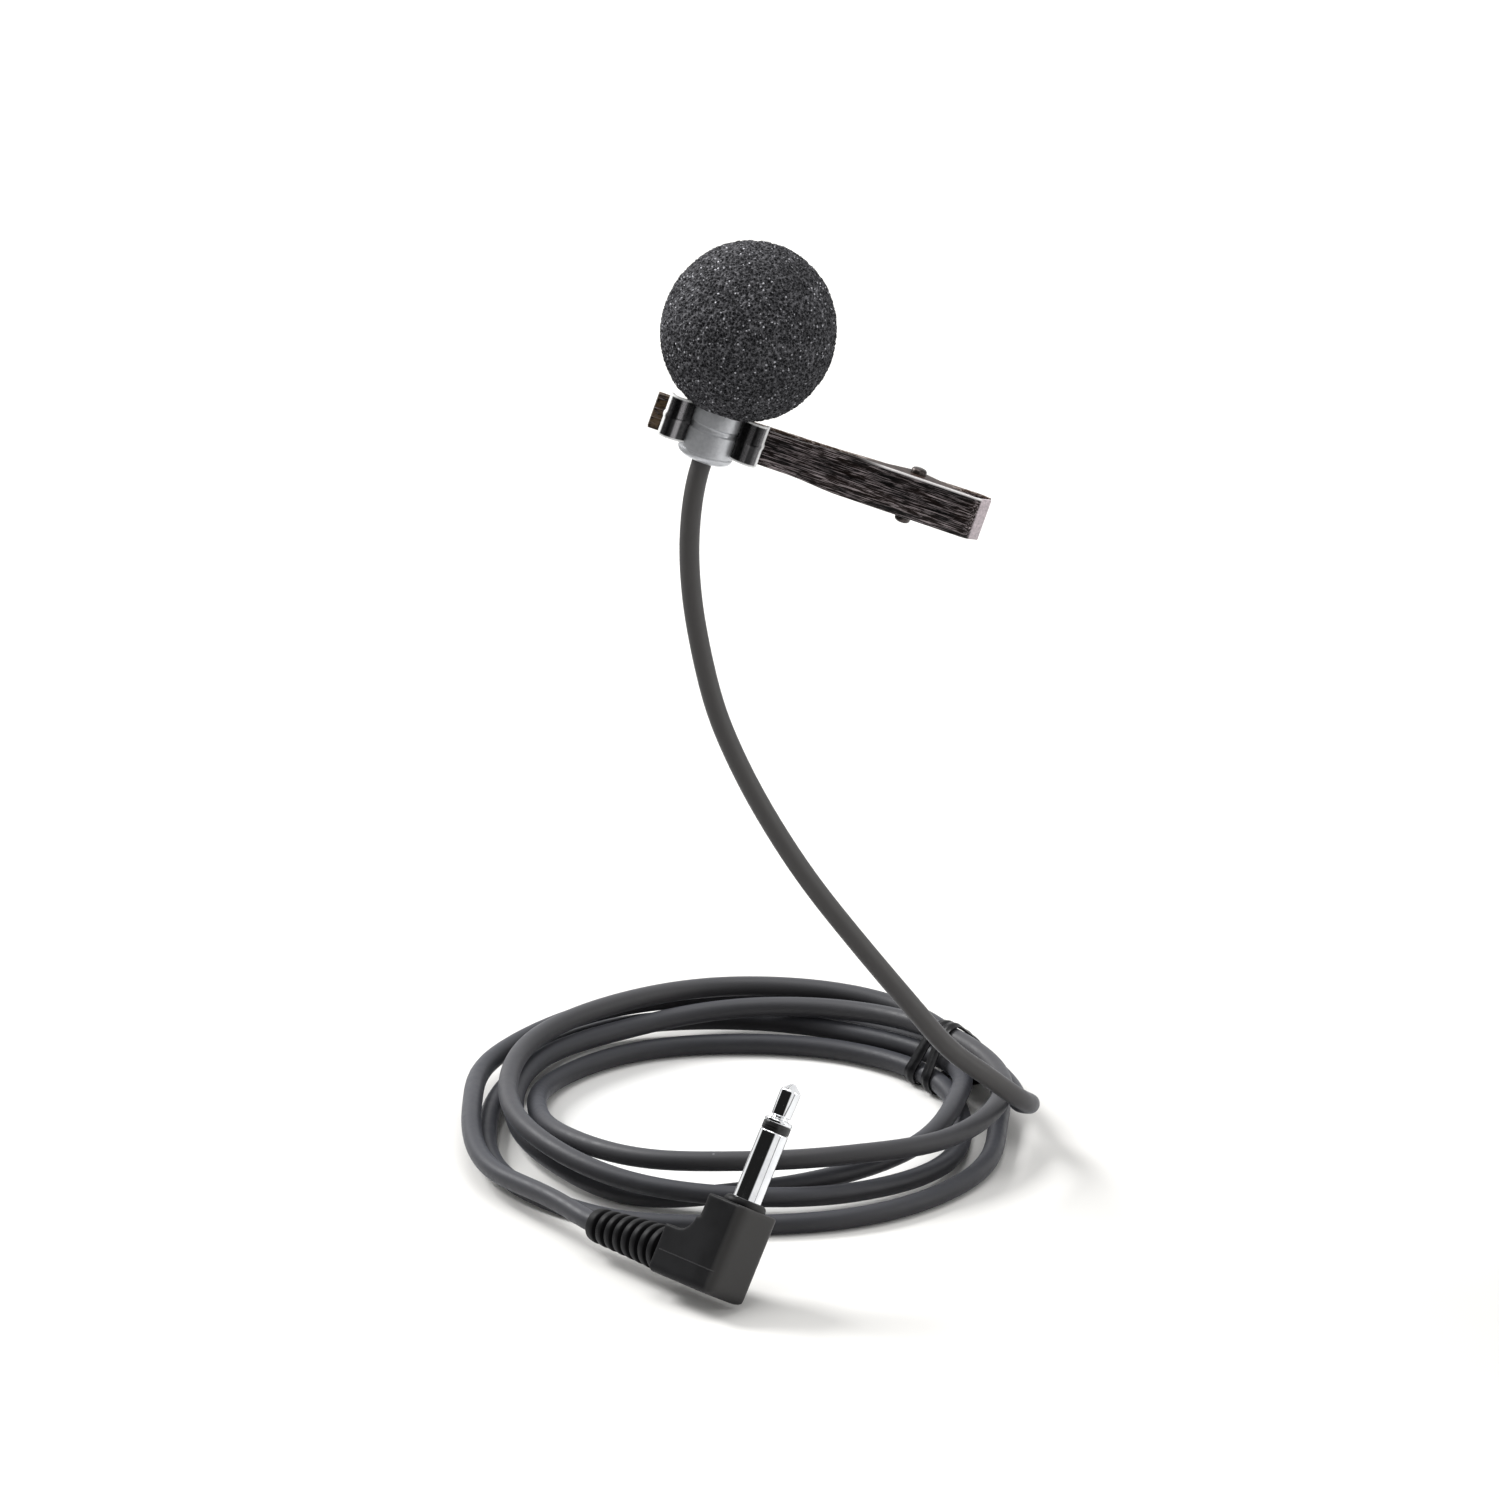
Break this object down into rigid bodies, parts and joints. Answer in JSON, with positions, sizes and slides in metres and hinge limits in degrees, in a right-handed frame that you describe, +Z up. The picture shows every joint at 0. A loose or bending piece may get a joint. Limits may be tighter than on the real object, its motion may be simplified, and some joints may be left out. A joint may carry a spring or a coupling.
{
  "type": "lavalier microphone",
  "caption": "Tie-clip microphone with a foam ball windscreen, a sprung turning clip, a coiled thin cable in a twist tie and a right-angle 3.5 mm mini plug.",
  "frame": {"origin": "centre of the cable coil, on the surface the coil rests on", "axes": "+Z up; the plug lies on the -Y side of the coil and the cable rises to the mic on the +X side; the mic is above the coil"},
  "size_m": [0.0689, 0.093, 0.1136],
  "materials": {
    "foam": "open-cell charcoal foam with a faint sparkle",
    "mic_grey": "satin light grey",
    "grille_paint": "black perforated sheet",
    "capsule_metal": "plain",
    "felt": "thin black felt",
    "film": "metallised film and thin ring",
    "brass": "plain",
    "inner_plastic": "natural moulded plastic",
    "black_plastic": "black",
    "board": "green circuit board",
    "black_rubber": "soft black",
    "solder": "tin solder",
    "lead_insulation": "thin red insulation",
    "black_steel": "gloss black spring strip",
    "dark_steel": "blackened steel",
    "brushed_black": "black brushed sheet, brown in the streaks",
    "spring_steel": "bright wire",
    "cable_rubber": "soft dark grey with a sheen",
    "copper_braid": "copper screen over the wires",
    "tie_plastic": "black plastic tie over wire",
    "plug_rubber": "satin black moulding",
    "plug_chrome": "bright nickel plate"
  },
  "bodies": {
    "windscreen": {"foam_windscreen": "foam"},
    "mic": {"mic_housing": "mic_grey", "mic_rear_cap": "mic_grey", "mic_grille": "grille_paint", "capsule_can": "capsule_metal", "capsule_felt": "felt", "capsule_diaphragm": "film", "capsule_spacer": "film", "capsule_backplate": "brass", "capsule_ring": "inner_plastic", "capsule_transistor": "black_plastic", "capsule_board": "board", "capsule_gasket": "black_rubber", "capsule_solder": "solder", "mic_leads": "lead_insulation", "cable_ferrule": "capsule_metal", "cable_jacket_mic": "cable_rubber", "cable_core_mic": "copper_braid"},
    "clip": {"mic_holder": "black_steel", "holder_rivet": "dark_steel", "clip_front_arm": "brushed_black", "clip_pivot_pin": "dark_steel", "clip_spring": "spring_steel"},
    "clip_jaw": {"clip_rear_arm": "brushed_black"},
    "coil": {"cable_jacket_coil": "cable_rubber", "cable_core_coil": "copper_braid", "cable_tie": "tie_plastic"},
    "riser": {"cable_jacket_riser": "cable_rubber", "cable_core_riser": "copper_braid"},
    "plug": {"cable_jacket_plug": "cable_rubber", "cable_core_plug": "copper_braid", "plug_overmould": "plug_rubber", "plug_inner_mould": "inner_plastic", "plug_sleeve": "plug_chrome", "plug_insulator": "black_plastic", "plug_tip": "plug_chrome", "plug_tip_lug": "brass", "plug_sleeve_lug": "brass", "plug_leads": "lead_insulation", "plug_solder": "solder"}
  },
  "joints": [
    {"name": "riser_flex", "type": "hinge", "parent": "coil", "child": "riser", "pos_m": [0.033, 0, 0.004], "axis": [0, 1, 0], "range_deg": [-15, 15]},
    {"name": "mic_flex", "type": "hinge", "parent": "riser", "child": "mic", "pos_m": [-0.00503, -0.00422, 0.08611], "axis": [0, 1, 0], "range_deg": [-30, 30]},
    {"name": "windscreen_slide", "type": "slide", "parent": "mic", "child": "windscreen", "axis": [0.3306, 0.1392, 0.9335], "range_m": [0, 0.016]},
    {"name": "clip_turn", "type": "hinge", "parent": "mic", "child": "clip", "pos_m": [-0.0045, -0.004, 0.0876], "axis": [0.3306, 0.1392, 0.9335], "continuous": true},
    {"name": "clip_open", "type": "hinge", "parent": "clip", "child": "clip_jaw", "pos_m": [0.02014, 0.00221, 0.08084], "axis": [-0.3306, -0.1392, -0.9335], "range_deg": [0, 15], "stiffness_Nm_per_rad": 0.02, "springref_deg": -20.05, "deforming": ["clip_spring"]},
    {"name": "plug_flex", "type": "hinge", "parent": "coil", "child": "plug", "pos_m": [-0.01796, -0.03666, 0.00435], "axis": [0, 0, 1], "range_deg": [-30, 30]}
  ]
}
